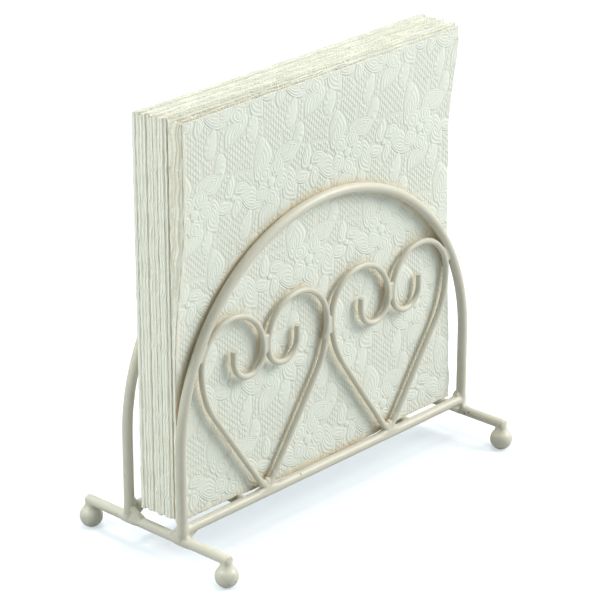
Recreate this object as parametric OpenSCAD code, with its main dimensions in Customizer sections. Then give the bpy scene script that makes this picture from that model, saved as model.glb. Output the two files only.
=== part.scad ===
// Wire napkin holder: two arched frames, each with a pair of scrolled hearts, on two foot
// bars with ball feet. Folded paper napkins stand on two rest wires between the frames.
// Millimetres, +Z up, front towards -Y, origin on the table under the middle.

/* [Frame] */
// Diameter of the thick wire of arches, rails, foot bars and rests
wire_d = 4.2; // [3.6:0.1:4.6]
// Centre-line radius of the arches
arch_radius = 85.2; // [82:0.2:95]
// Height of the arches' centre line at the top
arch_height = 132.8; // [128:0.2:140]
// Distance between the front and the back frame, centre line to centre line
frame_pitch = 29.6; // [26:0.2:36]

/* [Feet] */
// Diameter of the ball feet
ball_d = 9.5; // [8:0.1:11]
// Diameter of the small flat that each ball stands on
ball_flat_d = 2.4; // [1:0.2:4]
// Diameter of the drawn-in neck where a ball meets its bar
neck_d = 3.8; // [2.4:0.1:4]
// Radius of the hollow between a ball and its neck
neck_hollow = 1.6; // [0.5:0.1:2]
// Distance of the ball feet in front of and behind the frames
foot_reach = 23.3; // [16:0.1:32]
// Distance of the foot bars inside the arch legs
foot_bar_inset = 0.7; // [0:0.1:1.2]
// Length of bar beyond a ball's centre
bar_overhang = 0.4; // [0:0.1:3]
// Bevel on the cut ends of the foot bars
bar_bevel = 0.35; // [0.1:0.05:0.6]

/* [Hearts] */
// Diameter of the thinner scroll wire
scroll_d = 2.5; // [2:0.1:3]
// Height of the centres of the heart lobes
lobe_height = 79.5; // [74:0.1:84]
// Bend radius of the shoulder between a heart's leg and its lobe
shoulder_radius = 38; // [28:0.5:44]
// Bend radius of the inward curl
curl_radius = 8.4; // [7:0.1:9]
// Straight length between a lobe and its curl
curl_drop = 1.4; // [0.5:0.1:3]
// Straight length at the end of a curl
curl_end = 4.6; // [2:0.1:6]

/* [Rests] */
// Distance of each rest wire from the middle
rest_x = 50.5; // [25:0.5:65]

/* [Welds] */
// Gap that a weld bridges between two round wires
weld_gap = 0.2; // [0.1:0.05:0.4]
// Length of the welds along the scrolls
web_length = 8.5; // [6:0.5:10]
// Thickness of the welds between scrolls
web_thickness = 1.8; // [1:0.1:2]
// Height above the rail of the centre of the hollow on a heart's tip weld
tip_web_height = 8; // [6:0.5:10]
// Radius of the hollow fillets in the wire corners
fillet_radius = 2.4; // [1.4:0.1:3]

/* [Napkins] */
// Side of a napkin folded in four
napkin_side = 165; // [150:1:175]
// Thickness of one folded napkin
napkin_thickness = 1.78; // [1.6:0.02:2]
// Air between neighbouring napkins
napkin_air = 0.06; // [0.04:0.02:0.2]
// Shift of the stack along the rails
napkin_shift = -2; // [-4:0.5:4]
// Room left behind the stack for more napkins
spare_room = 4.2; // [4.2:0.1:5.8]
// Clearance between the napkins and the wire they stand in
napkin_clearance = 0.3; // [0.2:0.05:0.6]
// Depth to which the loose leaves stand apart at the open edges
leaf_depth = 12; // [6:1:25]

/* [Hidden] */
$fn = 64;

enamel = [0.90, 0.87, 0.79];
enamel_weld = [0.85, 0.82, 0.73];
paper = [0.95, 0.95, 0.92];

// Overrun of every cut past the solid that it cuts
overrun = 1;
// Clearance of a coped wire end or a weld from the wire that it meets
cope_gap = 0.05;
// Step to which the lobes' radius is drawn, so that the bends meet end to end
drawing_step = 0.01;
// Swell of the wire where a scroll's straight leg runs into its shoulder
seam_swell = 0.006;
seam_gap = 0.02;
wire_r = wire_d / 2;
scroll_r = scroll_d / 2;

// Feet: each ball stands on its flat, and the bars lie on the balls
ball_r = ball_d / 2;
hollow_steps = 6;
ball_z = sqrt(pow(ball_r, 2) - pow(ball_flat_d / 2, 2));
foot_bar_z = ball_z + ball_r + wire_r;
foot_bar_x = arch_radius - foot_bar_inset;
ball_y = frame_pitch / 2 + foot_reach;
bar_length = 2 * (ball_y + bar_overhang);

// Frames: the legs stand on the bars, and the rails clear them by a weld
frame_y = frame_pitch / 2;
rail_z = foot_bar_z + wire_d + weld_gap;
rail_top = rail_z + wire_r;
arch_z = arch_height - arch_radius;

// Hearts: four equal lobes touch each other in a row, and the outer two touch the arch.
// The lobe radius that does so is the root of 8 r^2 + b r + c = 0.
touch = scroll_d + weld_gap;
arch_inside = arch_radius - wire_r - scroll_r - weld_gap;
lobe_rise = lobe_height - arch_z;
lobe_b = 9 * touch + 2 * arch_inside;
lobe_c = 2.25 * pow(touch, 2) + pow(lobe_rise, 2) - pow(arch_inside, 2);
lobe_root = (sqrt(pow(lobe_b, 2) - 32 * lobe_c) - lobe_b) / 16;
lobe_radius = drawing_step * round(lobe_root / drawing_step);
heart_x = touch + 2 * lobe_radius;
scroll_outer_x = touch / 2 + 2 * lobe_radius;
curl_z = lobe_height - curl_drop;

// A heart's leg is the tangent from its tip on the rail to the shoulder's circle
tip_x = scroll_r;
shoulder_dx = scroll_outer_x - shoulder_radius - tip_x;
shoulder_dz = lobe_height - rail_top;
tip_reach = norm([shoulder_dx, shoulder_dz]);
leg_angle = atan2(shoulder_dx, shoulder_dz) + asin(shoulder_radius / tip_reach);
leg_length = sqrt(pow(tip_reach, 2) - pow(shoulder_radius, 2));

// Where an outer lobe touches its arch
arch_touch_angle = atan2(lobe_rise, heart_x + touch / 2 + lobe_radius);
arch_touch_radius = arch_radius - wire_r - weld_gap / 2;

// Places of the welds along the scrolls, as shares of the weld's length
scroll_web_share = 0.12;
heart_web_share = -0.3;
arch_web_share = -0.2;

// Napkins: they stand in the slot between the frames, and the front one can be drawn alone
napkin_z = rail_top + napkin_clearance;
slot_front = -frame_y + wire_r;
slot_back = frame_y - wire_r;
stack_front = slot_front + 2 * napkin_clearance;
first_napkin_back = stack_front + napkin_thickness;
rest_of_stack_front = first_napkin_back + napkin_clearance;
napkin_step = napkin_thickness + napkin_air;
stack_depth = slot_back - spare_room - rest_of_stack_front;
stack_count = floor((stack_depth + napkin_air) / napkin_step);
leaf_count = 4;
leaf_thickness = napkin_thickness / leaf_count;
leaf_air = leaf_thickness / 4;
// How far each leaf falls short of the full side, as shares of the leaf depth
leaf_short_shares = [0.02, 0.16, 0.08, 0.22];
// How far the napkins lie out of line, as shares of their thickness
side_drift_share = 0.3;
// Turn from one napkin to the next that spreads the drift evenly
drift_turn = 137.5;

// A round bar along +Z from the origin
module bar(d, length) {
    cylinder(d = d, h = length);
}

// A wire bent to an arc in the XZ plane about a centre, angles from +X towards +Z
module bent_wire(d, centre, radius, start, sweep) {
    translate([centre[0], 0, centre[1]])
        rotate([90, 0, 0])
            rotate_extrude(angle = sweep, start = start)
                translate([radius, 0]) circle(d = d);
}

// A thick bar along Y at foot-bar height, the seat of legs and balls
module foot_bar_core(side, d, length) {
    translate([side * foot_bar_x, -length / 2, foot_bar_z])
        rotate([-90, 0, 0]) bar(d, length);
}

// The straight leg of an arch, long enough to be coped on the foot bar
module arch_leg(front, side, d) {
    translate([side * arch_radius, front * frame_y, foot_bar_z])
        bar(d, arch_z - foot_bar_z);
}

// The line of a rail from leg to leg
module rail_core(front, d) {
    translate([-arch_radius, front * frame_y, rail_z])
        rotate([0, 90, 0]) bar(d, 2 * arch_radius);
}

module rest_core(side, d) {
    translate([side * rest_x, -frame_y, rail_z])
        rotate([-90, 0, 0]) bar(d, 2 * frame_y);
}

module arch(front) {
    color(enamel)
        difference() {
            union() {
                translate([0, front * frame_y, 0])
                    bent_wire(wire_d, [0, arch_z], arch_radius, 0, 180);
                for (side = [-1, 1]) arch_leg(front, side, wire_d);
            }
            for (side = [-1, 1]) foot_bar_core(side, wire_d + 2 * cope_gap, bar_length);
        }
}

module rail(front) {
    color(enamel)
        difference() {
            rail_core(front, wire_d);
            for (side = [-1, 1]) arch_leg(front, side, wire_d + 2 * cope_gap);
        }
}

module foot_bar(side) {
    color(enamel)
        translate([side * foot_bar_x, -bar_length / 2, foot_bar_z])
            rotate([-90, 0, 0])
                rotate_extrude()
                    polygon([
                        [0, 0], [wire_r - bar_bevel, 0], [wire_r, bar_bevel],
                        [wire_r, bar_length - bar_bevel], [wire_r - bar_bevel, bar_length],
                        [0, bar_length]
                    ]);
}

// A ball drawn up into a neck through a hollow that touches both, coped under its bar
module ball_foot(front, side) {
    neck_r = neck_d / 2;
    neck_rise = foot_bar_z - ball_z;
    hollow_x = neck_r + neck_hollow;
    hollow_z = sqrt(pow(ball_r + neck_hollow, 2) - pow(hollow_x, 2));
    hollow_start = 180 + atan2(hollow_z, hollow_x);
    color(enamel)
        difference() {
            translate([side * foot_bar_x, front * ball_y, ball_z])
                rotate_extrude() {
                    intersection() {
                        circle(r = ball_r);
                        translate([0, -ball_z]) square([ball_r, 2 * ball_r]);
                    }
                    polygon(concat(
                        [[0, 0]],
                        [for (k = [0:hollow_steps])
                            let (a = hollow_start + (180 - hollow_start) * k / hollow_steps)
                                [hollow_x, hollow_z] + neck_hollow * [cos(a), sin(a)]],
                        [[neck_r, neck_rise], [0, neck_rise]]
                    ));
                }
            foot_bar_core(side, wire_d + 2 * cope_gap, bar_length + 2 * overrun);
        }
}

module rest(side) {
    color(enamel)
        difference() {
            rest_core(side, wire_d);
            for (front = [-1, 1]) rail_core(front, wire_d + 2 * cope_gap);
        }
}

// The wire of a right-hand scroll about its heart's centre line, before it is cut at the tip
module scroll_wire(d) {
    shoulder_x = scroll_outer_x - shoulder_radius;
    leg_run = leg_length + scroll_d;
    translate([shoulder_x, 0, lobe_height])
        rotate([0, leg_angle, 0])
            translate([shoulder_radius, 0, 0]) {
                translate([0, 0, -leg_run]) bar(d, leg_run - seam_gap);
                sphere(d = d + seam_swell);
            }
    bent_wire(d, [shoulder_x, lobe_height], shoulder_radius, -leg_angle, leg_angle);
    bent_wire(d, [scroll_outer_x - lobe_radius, lobe_height], lobe_radius, 0, 180);
    translate([touch / 2, 0, curl_z]) bar(d, curl_drop);
    bent_wire(d, [touch / 2 + curl_radius, curl_z], curl_radius, 180, 180);
    translate([touch / 2 + 2 * curl_radius, 0, curl_z]) bar(d, curl_end);
}

// A scroll of one heart: hand 1 is the right-hand one, -1 its mirror image
module placed_scroll(front, heart, hand, d) {
    translate([heart * heart_x, front * frame_y, 0])
        mirror([hand < 0 ? 1 : 0, 0, 0]) scroll_wire(d);
}

module scroll(front, heart, hand) {
    cut_width = scroll_d + overrun;
    color(enamel)
        difference() {
            placed_scroll(front, heart, hand, scroll_d);
            rail_core(front, wire_d + 2 * cope_gap);
            // the two legs of a heart are cut to meet on its centre line
            translate([
                heart * heart_x + hand * (weld_gap - cut_width) / 2, front * frame_y,
                rail_top + scroll_d
            ])
                cube([cut_width, cut_width, 4 * scroll_d + 2 * overrun], center = true);
        }
}

// A flat weld between two wires, its ends hollow, along Z in the XZ plane
module weld_web(width) {
    rotate([90, 0, 0])
        linear_extrude(web_thickness, center = true)
            difference() {
                square([width, web_length], center = true);
                for (end = [-1, 1])
                    translate([0, end * (web_length / 2 + width / 4)]) circle(d = width);
            }
}

// A flat weld that fills the foot of a heart between its legs, hollow on top
module tip_web() {
    foot_half = tip_x - scroll_r / 2 / cos(leg_angle);
    hollow_r = foot_half * cos(leg_angle) + tip_web_height * sin(leg_angle);
    // the hollow meets the legs this far up along them
    horn = tip_web_height * cos(leg_angle) - foot_half * sin(leg_angle);
    horn_x = foot_half + horn * sin(leg_angle);
    horn_z = horn * cos(leg_angle);
    rotate([90, 0, 0])
        linear_extrude(web_thickness, center = true)
            difference() {
                polygon([
                    [-foot_half, -wire_r], [foot_half, -wire_r], [foot_half, 0],
                    [horn_x, horn_z], [-horn_x, horn_z], [-foot_half, 0]
                ]);
                translate([0, tip_web_height]) circle(r = hollow_r);
            }
}

module heart_welds(front) {
    clear_d = scroll_d + 2 * cope_gap;
    web_width = touch;
    color(enamel_weld) {
        for (heart = [-1, 1])
            difference() {
                translate([
                    heart * heart_x, front * frame_y, lobe_height + scroll_web_share * web_length
                ])
                    weld_web(web_width);
                for (hand = [-1, 1]) placed_scroll(front, heart, hand, clear_d);
            }
        difference() {
            translate([0, front * frame_y, lobe_height + heart_web_share * web_length])
                weld_web(web_width);
            for (side = [-1, 1]) placed_scroll(front, side, -side, clear_d);
        }
        for (heart = [-1, 1])
            difference() {
                translate([0, front * frame_y, arch_z])
                    mirror([heart < 0 ? 1 : 0, 0, 0])
                        rotate([0, -arch_touch_angle, 0])
                            translate([arch_touch_radius, 0, arch_web_share * web_length])
                                weld_web(web_width);
                placed_scroll(front, heart, heart, clear_d);
                translate([0, front * frame_y, 0])
                    bent_wire(wire_d + 2 * cope_gap, [0, arch_z], arch_radius, 0, 180);
            }
        for (heart = [-1, 1])
            difference() {
                translate([heart * heart_x, front * frame_y, rail_top]) tip_web();
                for (hand = [-1, 1]) placed_scroll(front, heart, hand, clear_d);
                rail_core(front, wire_d + 2 * cope_gap);
            }
    }
}

// A hollow fillet in the corner between +X and +Z, thick along Y
module corner_fillet(radius, thickness) {
    rotate([90, 0, 0])
        linear_extrude(thickness, center = true)
            difference() {
                translate([-wire_r, -wire_r]) square(radius + wire_r);
                translate([radius, radius]) circle(r = radius);
            }
}

module corner_welds() {
    thickness = wire_d / 2;
    clear_d = wire_d + 2 * cope_gap;
    color(enamel_weld)
        for (front = [-1, 1], side = [-1, 1]) {
            // in the corner above the rail
            difference() {
                translate([side * (arch_radius - wire_r), front * frame_y, rail_top])
                    mirror([side > 0 ? 1 : 0, 0, 0]) corner_fillet(fillet_radius, thickness);
                arch_leg(front, side, clear_d);
                rail_core(front, clear_d);
            }
            // before and behind the leg on its foot bar
            for (face = [-1, 1])
                difference() {
                    translate([
                        side * (arch_radius - foot_bar_inset / 2),
                        front * frame_y + face * wire_r, foot_bar_z + wire_r
                    ])
                        rotate([0, 0, face * 90]) corner_fillet(fillet_radius, thickness);
                    arch_leg(front, side, clear_d);
                    foot_bar_core(side, clear_d, bar_length);
                    rail_core(front, clear_d);
                }
        }
}

module rest_welds() {
    thickness = wire_d / 2;
    clear_d = wire_d + 2 * cope_gap;
    color(enamel_weld)
        for (front = [-1, 1], side = [-1, 1], face = [-1, 1])
            difference() {
                translate([side * rest_x + face * wire_r, front * (frame_y - wire_r), rail_z])
                    mirror([face < 0 ? 1 : 0, 0, 0])
                        mirror([0, front > 0 ? 1 : 0, 0])
                            rotate([-90, 0, 0])
                                mirror([0, 0, 1]) corner_fillet(fillet_radius / 2, thickness);
                rest_core(side, clear_d);
                rail_core(front, clear_d);
            }
}

// Outline of a folded napkin across one pair of edges: a round fold at the left, four loose
// leaves of uneven length at the right
module napkin_outline() {
    fold_r = napkin_thickness / 2;
    pad_side = napkin_side - leaf_depth;
    last_leaf = leaf_count - 1;
    leaf_ends = [for (short_share = leaf_short_shares) napkin_side - leaf_depth * short_share];
    slots = [for (leaf = [1 : last_leaf]) leaf * leaf_thickness];
    translate([fold_r, fold_r]) circle(r = fold_r);
    polygon([
        [fold_r, 0], [leaf_ends[0], 0],
        for (leaf = [0 : last_leaf - 1]) each [
            [leaf_ends[leaf], slots[leaf] - leaf_air / 2], [pad_side, slots[leaf] - leaf_air / 2],
            [pad_side, slots[leaf] + leaf_air / 2], [leaf_ends[leaf + 1], slots[leaf] + leaf_air / 2]
        ],
        [leaf_ends[last_leaf], napkin_thickness], [fold_r, napkin_thickness]
    ]);
}

// A sheet folded in four: closed folds at the left and below, loose leaves at the right and
// above. Its front lower left corner is at the origin.
module napkin() {
    intersection() {
        linear_extrude(napkin_side) napkin_outline();
        rotate([90, 0, 90])
            linear_extrude(napkin_side)
                mirror([1, -1]) napkin_outline();
    }
}

// Napkin number i of the stack, the front one is 0
module placed_napkin(i, front_face) {
    drift = napkin_thickness * side_drift_share * [sin(i * drift_turn), 1 - cos(i * drift_turn)];
    translate([
        napkin_shift - napkin_side / 2 + drift[0], front_face, napkin_z + drift[1]
    ])
        napkin();
}

module front_napkin() {
    color(paper) placed_napkin(0, stack_front);
}

module napkin_stack() {
    color(paper)
        for (i = [1 : stack_count])
            placed_napkin(i, rest_of_stack_front + (i - 1) * napkin_step);
}

arch(-1);  // front_arch
arch(1);  // back_arch
rail(-1);  // front_rail
rail(1);  // back_rail
foot_bar(-1);  // left_foot_bar
foot_bar(1);  // right_foot_bar
ball_foot(-1, -1);  // front_left_foot
ball_foot(-1, 1);  // front_right_foot
ball_foot(1, -1);  // back_left_foot
ball_foot(1, 1);  // back_right_foot
rest(-1);  // left_rest
rest(1);  // right_rest
scroll(-1, -1, -1);  // front_left_heart_left_scroll
scroll(-1, -1, 1);  // front_left_heart_right_scroll
scroll(-1, 1, -1);  // front_right_heart_left_scroll
scroll(-1, 1, 1);  // front_right_heart_right_scroll
scroll(1, -1, -1);  // back_left_heart_left_scroll
scroll(1, -1, 1);  // back_left_heart_right_scroll
scroll(1, 1, -1);  // back_right_heart_left_scroll
scroll(1, 1, 1);  // back_right_heart_right_scroll
heart_welds(-1);  // front_heart_welds
heart_welds(1);  // back_heart_welds
corner_welds();
rest_welds();
front_napkin();
napkin_stack();
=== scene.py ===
import math

import bpy
import numpy as np
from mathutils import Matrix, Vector


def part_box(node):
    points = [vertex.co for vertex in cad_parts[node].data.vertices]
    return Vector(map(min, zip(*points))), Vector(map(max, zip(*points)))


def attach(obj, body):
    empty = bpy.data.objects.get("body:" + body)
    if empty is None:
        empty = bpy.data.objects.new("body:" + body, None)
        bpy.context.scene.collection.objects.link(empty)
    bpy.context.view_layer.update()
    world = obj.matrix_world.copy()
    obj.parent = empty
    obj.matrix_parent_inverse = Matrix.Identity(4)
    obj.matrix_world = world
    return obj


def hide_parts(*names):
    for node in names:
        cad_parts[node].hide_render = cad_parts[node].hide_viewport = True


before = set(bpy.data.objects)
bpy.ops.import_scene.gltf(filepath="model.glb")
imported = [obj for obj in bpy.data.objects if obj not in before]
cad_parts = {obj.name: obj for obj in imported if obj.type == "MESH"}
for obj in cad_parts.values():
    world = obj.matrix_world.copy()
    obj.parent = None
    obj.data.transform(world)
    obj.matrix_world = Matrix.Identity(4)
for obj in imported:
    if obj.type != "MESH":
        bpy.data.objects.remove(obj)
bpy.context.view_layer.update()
scene = bpy.context.scene
bpy.ops.object.select_all(action="DESELECT")
print("frame loaded:", len(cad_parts), "nodes")


# shader helpers
def calc(tree, operation, *values):
    node = tree.nodes.new("ShaderNodeMath")
    node.operation = operation
    for i, value in enumerate(values):
        if isinstance(value, (int, float)):
            node.inputs[i].default_value = value
        else:
            tree.links.new(value, node.inputs[i])
    return node.outputs[0]


def ramp(tree, value, low, high, outLow=0.0, outHigh=1.0):
    node = tree.nodes.new("ShaderNodeMapRange")
    node.interpolation_type = "SMOOTHSTEP"
    tree.links.new(value, node.inputs["Value"])
    ends = {"From Min": low, "From Max": high, "To Min": outLow, "To Max": outHigh}
    for key, number in ends.items():
        node.inputs[key].default_value = number
    return node.outputs["Result"]


def noise(tree, vector, scale, detail, roughness, out="Fac"):
    node = tree.nodes.new("ShaderNodeTexNoise")
    node.inputs["Scale"].default_value = scale
    node.inputs["Detail"].default_value = detail
    node.inputs["Roughness"].default_value = roughness
    tree.links.new(vector, node.inputs["Vector"])
    return node.outputs[out]


def mixColour(tree, factor, first, second):
    node = tree.nodes.new("ShaderNodeMix")
    node.data_type = "RGBA"
    for key, value in (("Factor", factor), ("A", first), ("B", second)):
        socket = next(x for x in node.inputs if x.name == key and x.enabled)
        if isinstance(value, (int, float, tuple)):
            socket.default_value = value
        else:
            tree.links.new(value, socket)
    return next(x for x in node.outputs if x.enabled)


def addBump(tree, shader, height, strength, distance):
    bump = tree.nodes.new("ShaderNodeBump")
    bump.inputs["Strength"].default_value = strength
    bump.inputs["Distance"].default_value = distance
    tree.links.new(height, bump.inputs["Height"])
    tree.links.new(bump.outputs["Normal"], shader.inputs["Normal"])


def newGroup(name, masks):
    # takes a place on the surface and puts out a value for each mask
    group = bpy.data.node_groups.new(name, "ShaderNodeTree")
    group.interface.new_socket("Vector", in_out="INPUT", socket_type="NodeSocketVector")
    for label in masks:
        group.interface.new_socket(label, in_out="OUTPUT", socket_type="NodeSocketFloat")
    entry = group.nodes.new("NodeGroupInput")
    leave = group.nodes.new("NodeGroupOutput")
    return group, entry.outputs["Vector"], leave


def putOut(group, leave, values):
    for label, value in values.items():
        group.links.new(value, leave.inputs[label])


def useGroup(tree, group, vector):
    use = tree.nodes.new("ShaderNodeGroup")
    use.node_tree = group
    tree.links.new(vector, use.inputs["Vector"])
    return use.outputs


def newMaterial(name):
    mat = bpy.data.materials.new(name)
    mat.use_nodes = True
    return mat, mat.node_tree, mat.node_tree.nodes["Principled BSDF"]


# camera and studio
cameraSet = {
    "azimuth": -47.309,  # degrees, 0 looks along +Y
    "elevation": 22.213,
    "distance": 1.094,
    "lens": 157.3,
    "sensor": 36,
    "aimRight": -0.00103,  # the aim point, in the camera's own right and up
    "aimUp": 0.07735,
    "clipStart": 0.05,
    "clipEnd": 30,
}


def placeCamera(s):
    az, el = math.radians(s["azimuth"]), math.radians(s["elevation"])
    look = Vector((-math.sin(az) * math.cos(el), math.cos(az) * math.cos(el), -math.sin(el)))
    right = Vector((math.cos(az), math.sin(az), 0))
    up = right.cross(look)
    aim = right * s["aimRight"] + up * s["aimUp"]
    bpy.ops.object.camera_add(location=aim - look * s["distance"])
    camera = bpy.context.object
    camera.name = "photoCamera"
    camera.rotation_mode = "QUATERNION"
    camera.rotation_quaternion = look.to_track_quat("-Z", "Y")
    camera.data.lens = s["lens"]
    camera.data.sensor_width = s["sensor"]
    camera.data.clip_start = s["clipStart"]
    camera.data.clip_end = s["clipEnd"]
    scene.camera = camera


studioSet = {
    "floorSize": 14,
    "floorRough": 0.9,
    "floorShine": 0.1,
    "floorBounce": (0.44, 0.46, 0.46, 1),  # the sweep as the object is lit by it
    "floorSeen": (0.50, 0.50, 0.50, 1),  # and as the camera's exposure shows it
    "floorGlow": (0.84, 0.93, 1.0, 1),
    "floorGlowLight": 0.59,
    "skyColour": (0.945, 1.0, 0.965, 1),
    "skyLight": 0.53,
    "skyTowardCamera": 0.16,  # the dark room behind the camera
    "skyFade": (0.45, 0.95),  # how squarely a way faces the camera's side
    "lights": {  # place, aim, size, watts, colour
        "topSoftbox": ((0.06, 0.08, 1.60), (0, 0, 0.05), 0.5, 12.5, (1.0, 0.985, 0.955)),
        "rightSoftbox": ((0.98, -0.88, 0.98), (0, 0, 0.09), 0.9, 22.5, (1.0, 0.985, 0.955)),
        "leftSoftbox": ((-1.00, 0.45, 1.06), (0, 0, 0.09), 0.7, 11.5, (0.945, 1.0, 0.98)),
    },
}


def buildStudio(s):
    bpy.ops.mesh.primitive_plane_add(size=s["floorSize"])
    floor = bpy.context.object
    floor.name = "studioFloor"
    mat, tree, shader = newMaterial("floorWhite")
    shader.inputs["Roughness"].default_value = s["floorRough"]
    shader.inputs["Specular IOR Level"].default_value = s["floorShine"]
    shader.inputs["Emission Color"].default_value = s["floorGlow"]
    eye = tree.nodes.new("ShaderNodeLightPath").outputs["Is Camera Ray"]
    glow = calc(tree, "MULTIPLY", eye, s["floorGlowLight"])
    tree.links.new(glow, shader.inputs["Emission Strength"])
    white = mixColour(tree, eye, s["floorBounce"], s["floorSeen"])
    tree.links.new(white, shader.inputs["Base Color"])
    floor.data.materials.append(mat)

    world = bpy.data.worlds.new("studioWorld")
    scene.world = world
    world.use_nodes = True
    tree = world.node_tree
    out = tree.nodes["World Output"]
    sky = tree.nodes["Background"]
    sky.inputs["Color"].default_value = s["skyColour"]
    ways = tree.nodes.new("ShaderNodeTexCoord")
    dot = tree.nodes.new("ShaderNodeVectorMath")
    dot.operation = "DOT_PRODUCT"
    dot.inputs[1].default_value = scene.camera.location.normalized()
    tree.links.new(ways.outputs["Generated"], dot.inputs[0])
    light = ramp(tree, dot.outputs["Value"], *s["skyFade"], s["skyLight"], s["skyTowardCamera"])
    tree.links.new(light, sky.inputs["Strength"])
    backdrop = tree.nodes.new("ShaderNodeBackground")  # what the camera itself sees of it
    rays = tree.nodes.new("ShaderNodeLightPath")
    mix = tree.nodes.new("ShaderNodeMixShader")
    tree.links.new(rays.outputs["Is Camera Ray"], mix.inputs["Fac"])
    tree.links.new(sky.outputs[0], mix.inputs[1])
    tree.links.new(backdrop.outputs[0], mix.inputs[2])
    tree.links.new(mix.outputs[0], out.inputs["Surface"])

    for name, (place, aim, size, watts, colour) in s["lights"].items():
        bpy.ops.object.light_add(type="AREA", location=place)
        lamp = bpy.context.object
        lamp.name = name
        lamp.rotation_mode = "QUATERNION"
        lamp.rotation_quaternion = (Vector(aim) - Vector(place)).to_track_quat("-Z", "Y")
        lamp.data.size = size
        lamp.data.energy = watts
        lamp.data.color = colour


scene.view_settings.view_transform = "Standard"
placeCamera(cameraSet)
buildStudio(studioSet)
print("camera and studio ready")


# cream enamel on the wire
enamelSet = {
    "colour": (0.625, 0.605, 0.515, 1),
    "thin": (0.57, 0.53, 0.42, 1),  # where the coat is thin and yellowed
    "speck": (0.08, 0.07, 0.055, 1),
    "wireThin": 0.35,  # how far the thin places yellow
    "weldThin": 0.6,
    "roughLow": 0.36,
    "roughHigh": 0.48,
    "bump": 0.00016,
    "bumpShare": 0.35,
    # scale, detail and roughness of each noise, with the range of it that shows
    "runs": (55, 3, 0.55),
    "runsThin": (0.48, 0.72),
    "dust": (900, 2, 0.6),
    "dustSeen": (0.735, 0.76),
    "patches": (60, 2, 0.5),
    "patchesSeen": (0.56, 0.64),
    "peel": (420, 2, 0.5),
    "ragged": (1500, 2, 0.6),
    "raggedReach": 0.0012,
    "runsHigh": 2.2,
    "chipDeep": 1.5,
    "chipRim": (0.0006, 0.00035),  # metres to a chip's outside and inside, for each of its reach
    "chips": (  # middle and reach of the chipped places, in millimetres
        ((39.3, -15.9, 123.2), 1.1),
        ((86.1, -16.2, 43.2), 0.7),
        ((-87.0, -16.2, 58.5), 0.6),
        ((-49.4, -16.6, 17.9), 0.9),
        ((-18.7, -16.4, 17.4), 0.6),
        ((82.6, -19.2, 11.3), 0.8),
        ((82.6, -21.4, 12.2), 0.8),
        ((-87.3, -42.0, 2.6), 1.0),
        ((-84.2, -42.6, 3.9), 0.7),
    ),
}


def enamelGroup(s):
    group, place, leave = newGroup("enamelCoat", ("Thin", "Speck", "Height"))
    runs = noise(group, place, *s["runs"])
    dust = ramp(group, noise(group, place, *s["dust"]), *s["dustSeen"])
    patches = ramp(group, noise(group, place, *s["patches"]), *s["patchesSeen"])
    speck = calc(group, "MULTIPLY", dust, patches)
    ragged = noise(group, place, *s["ragged"])
    for middle, reach in s["chips"]:
        away = group.nodes.new("ShaderNodeVectorMath")
        away.operation = "DISTANCE"
        away.inputs[1].default_value = [c / 1000 for c in middle]
        group.links.new(place, away.inputs[0])
        far = calc(group, "MULTIPLY_ADD", ragged, s["raggedReach"], away.outputs["Value"])
        rim = [reach * share + s["raggedReach"] / 2 for share in s["chipRim"]]
        speck = calc(group, "MAXIMUM", speck, ramp(group, far, *rim))
    height = calc(group, "MULTIPLY_ADD", runs, s["runsHigh"], noise(group, place, *s["peel"]))
    height = calc(group, "MULTIPLY_ADD", speck, -s["chipDeep"], height)
    thin = ramp(group, runs, *s["runsThin"])
    putOut(group, leave, {"Thin": thin, "Speck": speck, "Height": height})
    return group


def enamelMaterial(name, s, coat, thinShare):
    mat, tree, shader = newMaterial(name)
    coords = tree.nodes.new("ShaderNodeTexCoord")
    wear = useGroup(tree, coat, coords.outputs["Object"])
    thin = calc(tree, "MULTIPLY", wear["Thin"], thinShare)
    colour = mixColour(tree, thin, s["colour"], s["thin"])
    colour = mixColour(tree, wear["Speck"], colour, s["speck"])
    tree.links.new(colour, shader.inputs["Base Color"])
    rough = ramp(tree, wear["Thin"], 0, 1, s["roughLow"], s["roughHigh"])
    tree.links.new(rough, shader.inputs["Roughness"])
    addBump(tree, shader, wear["Height"], s["bumpShare"], s["bump"])
    return mat


coat = enamelGroup(enamelSet)
wireEnamel = enamelMaterial("wireEnamel", enamelSet, coat, enamelSet["wireThin"])
weldEnamel = enamelMaterial("weldEnamel", enamelSet, coat, enamelSet["weldThin"])
for nodeName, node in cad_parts.items():
    node.data.materials.clear()
    node.data.materials.append(weldEnamel if "weld" in nodeName else wireEnamel)
print("enamel on the wire")


# weld flares
weldSet = {
    "sides": 20,
    "voxel": 0.00036,
    "smoothing": 14,
    "smoothShare": 0.5,
    "arcSteps": 6,
}


def boxMiddle(node):
    low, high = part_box(node)
    return [(a + b) / 2 for a, b in zip(low, high)], [b - a for a, b in zip(low, high)]


def strut(start, end, startR, endR):
    start, end = Vector(start), Vector(end)
    axis = end - start
    bpy.ops.mesh.primitive_cone_add(
        vertices=weldSet["sides"],
        radius1=startR,
        radius2=endR,
        depth=axis.length,
        location=(start + end) / 2,
        rotation=axis.to_track_quat("Z", "Y").to_euler(),
    )
    return bpy.context.object


def flare(start, end, wireR, thick):
    # thick: the radius at both ends, in shares of the wire's
    return strut(start, end, wireR * thick[0], wireR * thick[1])


def chain(rings):
    # struts through a row of points, each point with its radius
    return [strut(a, b, aR, bR) for (a, aR), (b, bR) in zip(rings, rings[1:])]


def arcFlare(centre, radius, middle, spread, y, wireR, thick, steps):
    # a run of struts along an arc in an upright plane, thickest at its middle
    swell, fade = wireR * thick[0], wireR * thick[1]
    rings = []
    for k in range(steps + 1):
        t = middle - spread + 2 * spread * k / steps
        point = (centre[0] + radius * math.cos(t), y, centre[1] + radius * math.sin(t))
        rings.append((point, fade + (swell - fade) * (1 - abs(2 * k / steps - 1))))
    return chain(rings)


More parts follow.
